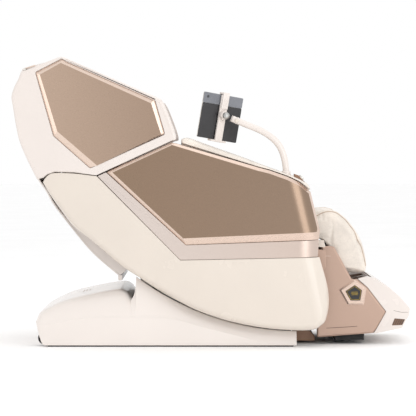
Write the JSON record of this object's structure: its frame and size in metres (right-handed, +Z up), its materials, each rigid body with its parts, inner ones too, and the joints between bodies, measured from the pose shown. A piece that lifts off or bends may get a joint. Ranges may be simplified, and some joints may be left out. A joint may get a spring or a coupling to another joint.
{
  "type": "massage chair",
  "caption": "Zero-wall massage chair with a reclining body on a sled base, swinging leg rest, sliding foot unit, massage carriage and tablet arm",
  "frame": {"origin": "on the floor, in the middle of the bounding box", "axes": "+X the way the sitter faces, +Y to the sitter's left, +Z up"},
  "size_m": [1.634, 0.82, 1.18],
  "materials": {
    "cream_gloss": "gloss",
    "cream_light": "gloss",
    "champagne": "satin",
    "strip_metal": "satin",
    "satin_bronze": "satin",
    "taupe_gloss": "gloss",
    "padding_cream": "satin",
    "padding_brown": "satin",
    "black_plastic": "matte",
    "black_rubber": "matte",
    "base_steel": "satin",
    "frame_aluminium": "satin",
    "zinc_steel": "satin",
    "glass_black": "polished"
  },
  "bodies": {
    "base": {"base_frame": "base_steel", "base_side_cover_right": "cream_gloss", "base_side_cover_left": "cream_gloss", "base_rear_hood": "cream_gloss", "base_front_bracket": "black_plastic", "foot_strip_right": "black_rubber", "foot_strip_left": "black_rubber", "air_pump": "black_plastic", "power_inlet": "black_plastic", "recline_actuator_tube": "black_plastic"},
    "power_switch": {"power_switch": "black_plastic"},
    "wheel_right": {"transport_wheel_right": "black_rubber"},
    "wheel_left": {"transport_wheel_left": "black_rubber"},
    "recline_rod": {"recline_actuator_rod": "zinc_steel"},
    "chair": {"seat_frame": "frame_aluminium", "side_shell_right": "cream_gloss", "side_shell_left": "cream_gloss", "shoulder_shell_right": "cream_light", "shoulder_shell_left": "cream_light", "shoulder_panel_right": "satin_bronze", "shoulder_panel_left": "satin_bronze", "arm_panel_right": "taupe_gloss", "arm_panel_left": "taupe_gloss", "trim_strip_right": "strip_metal", "trim_strip_left": "strip_metal", "armrest_pad_right": "padding_cream", "armrest_pad_left": "padding_cream", "arm_liner_right": "padding_brown", "arm_liner_left": "padding_brown", "back_cover": "cream_gloss", "back_frame": "frame_aluminium", "back_pad": "padding_brown", "head_pillow": "padding_cream", "seat_cushion": "padding_brown", "shoulder_airbag_right": "padding_cream", "shoulder_airbag_left": "padding_cream", "control_pod": "black_plastic"},
    "massage_carriage": {"massage_carriage": "black_plastic"},
    "massage_arm_right": {"massage_arm_right": "black_plastic"},
    "massage_arm_left": {"massage_arm_left": "black_plastic"},
    "knead_lower_right": {"kneading_wheel_lower_right": "black_plastic"},
    "knead_upper_right": {"kneading_wheel_upper_right": "black_plastic"},
    "knead_lower_left": {"kneading_wheel_lower_left": "black_plastic"},
    "knead_upper_left": {"kneading_wheel_upper_left": "black_plastic"},
    "start_button": {"start_button": "strip_metal"},
    "jog_dial": {"jog_dial": "strip_metal"},
    "tablet_arm": {"tablet_arm": "cream_light"},
    "tablet_knuckle": {"tablet_knuckle": "zinc_steel"},
    "tablet_clamp": {"tablet_clamp": "cream_light", "tablet": "glass_black"},
    "clamp_jaw": {"clamp_jaw": "cream_light"},
    "leg_rest": {"leg_frame": "frame_aluminium", "calf_pad": "padding_cream"},
    "foot_unit": {"foot_shell": "cream_light", "foot_lining": "padding_brown", "leg_side_panel_right": "champagne", "leg_side_panel_left": "champagne", "leg_rubber_foot": "black_rubber"},
    "foot_roller_right": {"foot_roller_right": "black_plastic"},
    "foot_roller_left": {"foot_roller_left": "black_plastic"}
  },
  "joints": [
    {"name": "body_recline", "type": "hinge", "parent": "base", "child": "chair", "pos_m": [0.358, 0, 1.183], "axis": [0, -1, 0], "range_deg": [0, 16]},
    {"name": "recline_rod_slide", "type": "slide", "parent": "base", "child": "recline_rod", "axis": [0.9932, 0, -0.1163], "range_m": [0, 0.3]},
    {"name": "power_switch_rock", "type": "hinge", "parent": "base", "child": "power_switch", "pos_m": [-0.711, 0.054, 0.076], "axis": [0, 1, 0], "range_deg": [-8, 8]},
    {"name": "transport_wheel_right_spin", "type": "hinge", "parent": "base", "child": "wheel_right", "pos_m": [-0.69, -0.299, 0.032], "axis": [0, 1, 0], "continuous": true},
    {"name": "transport_wheel_left_spin", "type": "hinge", "parent": "base", "child": "wheel_left", "pos_m": [-0.69, 0.299, 0.032], "axis": [0, 1, 0], "continuous": true},
    {"name": "massage_carriage_travel", "type": "slide", "parent": "chair", "child": "massage_carriage", "axis": [-0.5632, 0, 0.8263], "range_m": [0, 0.42]},
    {"name": "massage_arm_right_rock", "type": "hinge", "parent": "massage_carriage", "child": "massage_arm_right", "pos_m": [-0.32585, -0.069, 0.4711], "axis": [0, 1, 0], "range_deg": [-6, 6]},
    {"name": "kneading_wheel_lower_right_spin", "type": "hinge", "parent": "massage_arm_right", "child": "knead_lower_right", "pos_m": [-0.29078, -0.088, 0.43207], "axis": [0, 1, 0], "continuous": true},
    {"name": "kneading_wheel_upper_right_spin", "type": "hinge", "parent": "massage_arm_right", "child": "knead_upper_right", "pos_m": [-0.34935, -0.088, 0.51801], "axis": [0, 1, 0], "continuous": true},
    {"name": "massage_arm_left_rock", "type": "hinge", "parent": "massage_carriage", "child": "massage_arm_left", "pos_m": [-0.32585, 0.069, 0.4711], "axis": [0, 1, 0], "range_deg": [-6, 6]},
    {"name": "kneading_wheel_lower_left_spin", "type": "hinge", "parent": "massage_arm_left", "child": "knead_lower_left", "pos_m": [-0.29078, 0.088, 0.43207], "axis": [0, 1, 0], "continuous": true},
    {"name": "kneading_wheel_upper_left_spin", "type": "hinge", "parent": "massage_arm_left", "child": "knead_upper_left", "pos_m": [-0.34935, 0.088, 0.51801], "axis": [0, 1, 0], "continuous": true},
    {"name": "start_button_press", "type": "slide", "parent": "chair", "child": "start_button", "axis": [-0.7369, 0, -0.676], "range_m": [0, 0.0015], "stiffness_N_per_m": 400},
    {"name": "jog_dial_turn", "type": "hinge", "parent": "chair", "child": "jog_dial", "pos_m": [0.361, -0.298, 0.688], "axis": [0.7369, 0, 0.676], "continuous": true},
    {"name": "tablet_arm_swivel", "type": "hinge", "parent": "chair", "child": "tablet_arm", "pos_m": [0.3, -0.335, 0.7], "axis": [0, 0, 1], "range_deg": [-100, 25]},
    {"name": "tablet_knuckle_turn", "type": "hinge", "parent": "tablet_arm", "child": "tablet_knuckle", "pos_m": [0.055, -0.335, 0.943], "axis": [0, 0, 1], "range_deg": [-40, 40]},
    {"name": "tablet_tilt", "type": "hinge", "parent": "tablet_knuckle", "child": "tablet_clamp", "pos_m": [0.055, -0.335, 0.943], "axis": [0.8343, 0.5335, -0.1392], "range_deg": [-15, 30]},
    {"name": "clamp_jaw_slide", "type": "slide", "parent": "tablet_clamp", "child": "clamp_jaw", "axis": [0.1638, 0.0013, 0.9865], "range_m": [0, 0.02], "stiffness_N_per_m": 300, "springref_m": -0.01},
    {"name": "leg_rest_raise", "type": "hinge", "parent": "chair", "child": "leg_rest", "pos_m": [0.432, 0, 0.359], "axis": [0, -1, 0], "range_deg": [0, 85]},
    {"name": "foot_unit_extend", "type": "slide", "parent": "leg_rest", "child": "foot_unit", "axis": [0, 0, -1], "range_m": [0, 0.15]},
    {"name": "foot_roller_right_spin", "type": "hinge", "parent": "foot_unit", "child": "foot_roller_right", "pos_m": [0.62, -0.0975, 0.072], "axis": [0, 1, 0], "continuous": true},
    {"name": "foot_roller_left_spin", "type": "hinge", "parent": "foot_unit", "child": "foot_roller_left", "pos_m": [0.62, 0.0975, 0.072], "axis": [0, 1, 0], "continuous": true}
  ],
  "couplings": [
    {"joint": "recline_rod_slide", "follows": "body_recline", "m_per_rad": 1.013},
    {"joint": "massage_arm_left_rock", "follows": "massage_arm_right_rock", "ratio": -1}
  ]
}
